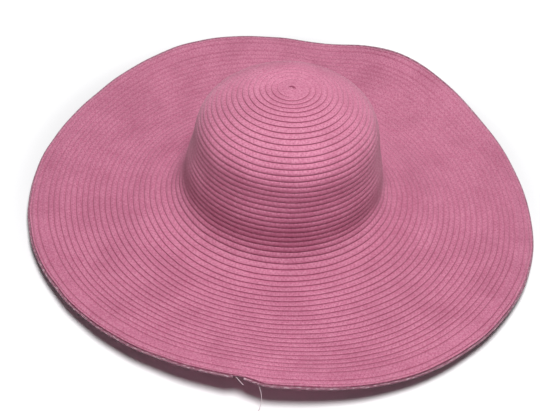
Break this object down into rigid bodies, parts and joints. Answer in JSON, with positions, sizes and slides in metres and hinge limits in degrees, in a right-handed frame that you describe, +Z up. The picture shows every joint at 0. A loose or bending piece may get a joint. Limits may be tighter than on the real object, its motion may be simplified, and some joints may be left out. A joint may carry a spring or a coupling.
{
  "type": "wide-brimmed sun hat",
  "caption": "Round-crowned sun hat of sewn paper-straw braid, with a wide waved brim that curls up at the back and a doubled edge.",
  "frame": {"origin": "middle of the hat's bounding box, on the surface that the brim rests on", "axes": "+Z up out of the crown's tip, -Y towards the front of the hat, +X to its right as seen from the front"},
  "size_m": [0.4992, 0.4886, 0.1468],
  "materials": {
    "braid": "matt pink paper-straw braid, sewn in overlapping rows",
    "edge_braid": "the same braid, paler and fuzzier where its edge is turned under"
  },
  "bodies": {
    "root": {"crown": "braid", "brim": "braid", "rim_braid": "edge_braid"}
  },
  "joints": []
}
